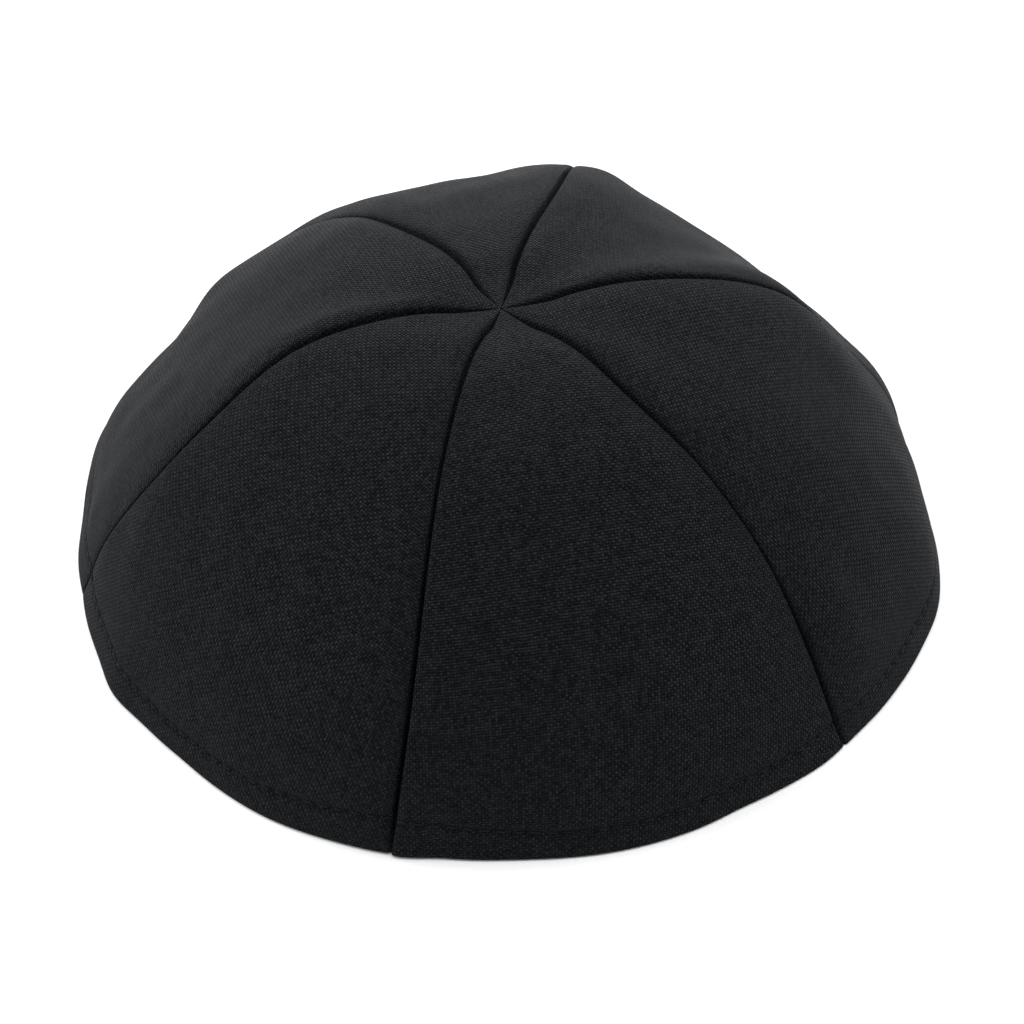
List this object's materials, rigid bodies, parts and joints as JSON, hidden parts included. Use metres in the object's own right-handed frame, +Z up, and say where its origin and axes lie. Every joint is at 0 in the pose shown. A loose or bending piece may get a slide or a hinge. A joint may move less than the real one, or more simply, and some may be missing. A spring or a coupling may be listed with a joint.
{
  "type": "six-panel cloth kippah",
  "caption": "Shallow domed cloth skullcap of sewn gores that meet at the crown, with a turned-in, topstitched hem and an open hollow underneath.",
  "frame": {"origin": "middle of the bounding box at the level of the surface that the rim stands on", "axes": "+Z up through the crown, -Y towards the front of the picture's view, +X to its right"},
  "size_m": [0.1748, 0.1748, 0.0589],
  "materials": {
    "suiting_cloth": "matt black plain weave with a faint sheen at grazing angles"
  },
  "bodies": {
    "root": {"front_panel": "suiting_cloth", "right_panel": "suiting_cloth", "back_right_panel": "suiting_cloth", "back_panel": "suiting_cloth", "back_left_panel": "suiting_cloth", "front_left_panel": "suiting_cloth"}
  },
  "joints": []
}
